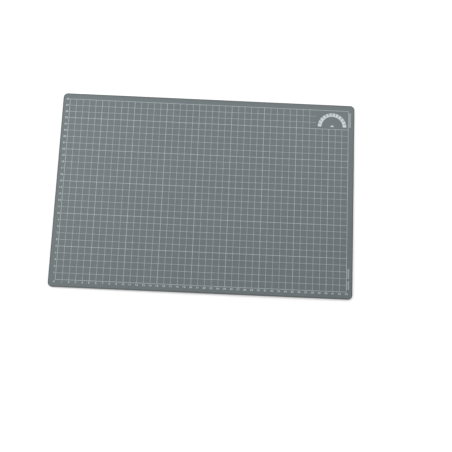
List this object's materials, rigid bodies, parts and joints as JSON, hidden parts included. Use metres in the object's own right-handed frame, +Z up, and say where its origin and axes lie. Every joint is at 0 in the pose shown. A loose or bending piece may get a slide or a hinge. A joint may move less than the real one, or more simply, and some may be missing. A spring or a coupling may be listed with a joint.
{
  "type": "self healing cutting mat",
  "caption": "Thin rectangular five-ply cutting mat with rounded corners, a printed centimetre grid, edge numerals and an angle gauge.",
  "frame": {"origin": "centre of the flat underside", "axes": "+X along the long side towards the right-hand edge, +Y along the short side towards the far edge, +Z up out of the printed cutting face"},
  "size_m": [0.45, 0.3, 0.003],
  "materials": {
    "skin": "matte, finely grained PVC",
    "film": "satin",
    "core": "matte",
    "ink": "matte screen-printed ink"
  },
  "bodies": {
    "root": {"bottom_skin": "skin", "lower_stop_film": "film", "core_sheet": "core", "upper_stop_film": "film", "top_skin": "skin", "border_line": "ink", "grid_lines_50mm": "ink", "grid_lines_10mm": "ink", "angle_gauge_print": "ink", "tick_gauge_upper": "ink", "tick_gauge_lower": "ink", "numerals_lower": "ink", "numerals_left": "ink"}
  },
  "joints": []
}
